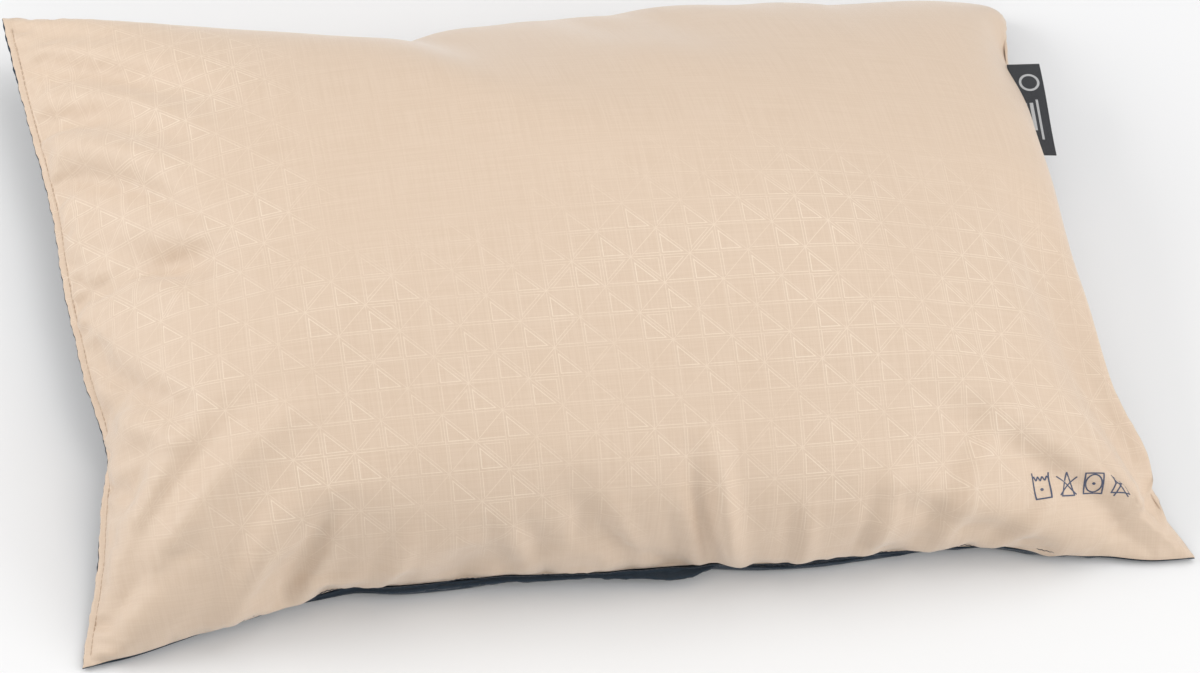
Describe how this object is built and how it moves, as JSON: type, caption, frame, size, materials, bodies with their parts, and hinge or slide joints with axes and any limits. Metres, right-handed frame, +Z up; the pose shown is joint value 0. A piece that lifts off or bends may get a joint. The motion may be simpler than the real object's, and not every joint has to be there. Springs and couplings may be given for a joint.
{
  "type": "camp pillow",
  "caption": "Rectangular stuffed camp pillow with a light face cloth, a dark back cloth, one top-stitched end and a small folded tag on the other end.",
  "frame": {"origin": "middle of the flat patch that the underside rests on", "axes": "+Z up through the crown, +X along the pillow from the top-stitched closing end to the end with the tag"},
  "size_m": [0.58, 0.392, 0.12],
  "materials": {
    "face_cloth": "beige brushed microfibre with a fine tone-on-tone line lattice, satin sheen",
    "back_cloth": "navy plain-weave polyester, matt",
    "filling": "white hollow-fibre wadding",
    "face_thread": "beige polyester sewing thread",
    "back_thread": "navy polyester sewing thread",
    "tag_cloth": "near-black woven satin ribbon"
  },
  "bodies": {
    "back": {"back_cover": "back_cloth", "fibre_fill": "filling"},
    "crown": {"front_cover": "face_cloth"},
    "seam": {"closing_stitch_front": "face_thread", "closing_stitch_back": "back_thread", "front_seam_thread": "back_thread", "rear_seam_thread": "back_thread", "tag_end_seam_thread": "back_thread"},
    "tag": {"side_tag": "tag_cloth"}
  },
  "joints": [
    {"name": "compress", "type": "slide", "parent": "back", "child": "crown", "axis": [0, 0, -1], "range_m": [0, 0.035], "stiffness_N_per_m": 900, "deforming": ["front_cover", "back_cover", "fibre_fill"]},
    {"name": "seam_drop", "type": "slide", "parent": "back", "child": "seam", "axis": [0, 0, -1], "range_m": [0, 0.0105]},
    {"name": "tag_flap", "type": "hinge", "parent": "seam", "child": "tag", "pos_m": [0.24855, 0.077, 0.036], "axis": [0.0544, 0.9985, 0], "range_deg": [-12, 50], "stiffness_Nm_per_rad": 0.0004}
  ],
  "couplings": [
    {"joint": "seam_drop", "follows": "compress", "ratio": 0.3}
  ]
}
